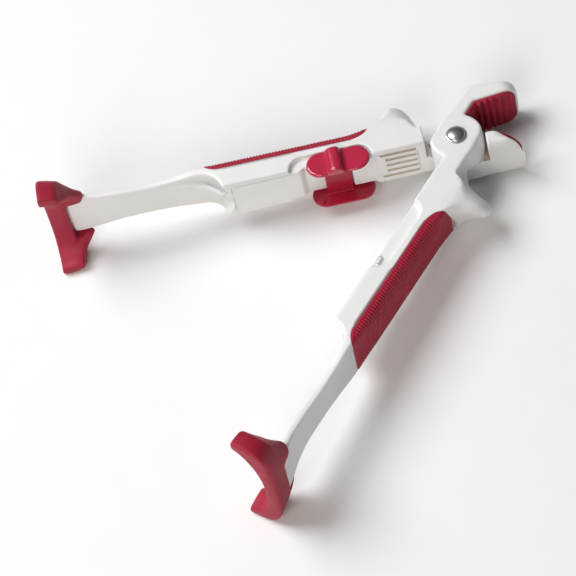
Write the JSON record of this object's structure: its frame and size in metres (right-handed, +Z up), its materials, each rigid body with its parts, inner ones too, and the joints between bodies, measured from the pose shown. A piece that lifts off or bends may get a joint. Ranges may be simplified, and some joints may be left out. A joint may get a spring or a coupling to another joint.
{
  "type": "sock aid",
  "caption": "Scissor tongs for putting on socks, with curved spreaders on the handle ends, padded gripping jaws and a sliding handle lock.",
  "frame": {"origin": "middle of the footprint, on the surface that the open tool lies on", "axes": "+X from the spreaders towards the jaws, midway between the two arms; +Z up, close to the pivot axis, which leans a few degrees because the tool lies on its spreaders and one jaw tip"},
  "size_m": [0.2826, 0.254, 0.0818],
  "materials": {
    "white_shell": "satin white moulded plastic",
    "soft_red": "matte crimson soft grip",
    "latch_red": "satin crimson moulded plastic",
    "polished_steel": "polished",
    "plain_steel": "plain turned or drawn steel",
    "nylon": "natural nylon"
  },
  "bodies": {
    "arm_a": {"arm_a_frame": "white_shell", "arm_a_inner_cover": "white_shell", "arm_a_grip": "soft_red", "arm_a_spreader": "soft_red", "arm_a_jaw_pad": "soft_red", "arm_a_cover_screw_front": "plain_steel", "arm_a_cover_screw_rear": "plain_steel", "pivot_rivet": "polished_steel", "rear_washer": "plain_steel", "friction_washer": "nylon", "torsion_spring": "plain_steel"},
    "arm_b": {"arm_b_frame": "white_shell", "arm_b_inner_cover": "white_shell", "arm_b_grip": "soft_red", "arm_b_spreader": "soft_red", "arm_b_jaw_pad": "soft_red", "arm_b_cover_screw_front": "plain_steel", "arm_b_cover_screw_rear": "plain_steel"},
    "latch": {"latch_front_plate": "latch_red", "latch_back_plate": "latch_red", "latch_screw": "plain_steel"}
  },
  "joints": [
    {"name": "handle_hinge", "type": "hinge", "parent": "arm_a", "child": "arm_b", "pos_m": [0.0901, 0, 0.02041], "axis": [-0.0898, 0, -0.996], "range_deg": [0, 49], "stiffness_Nm_per_rad": 0.2, "springref_deg": -28.65, "deforming": ["torsion_spring"]},
    {"name": "latch_slide", "type": "slide", "parent": "arm_a", "child": "latch", "axis": [-0.9063, 0.4147, 0.0817], "range_m": [0, 0.01]}
  ]
}
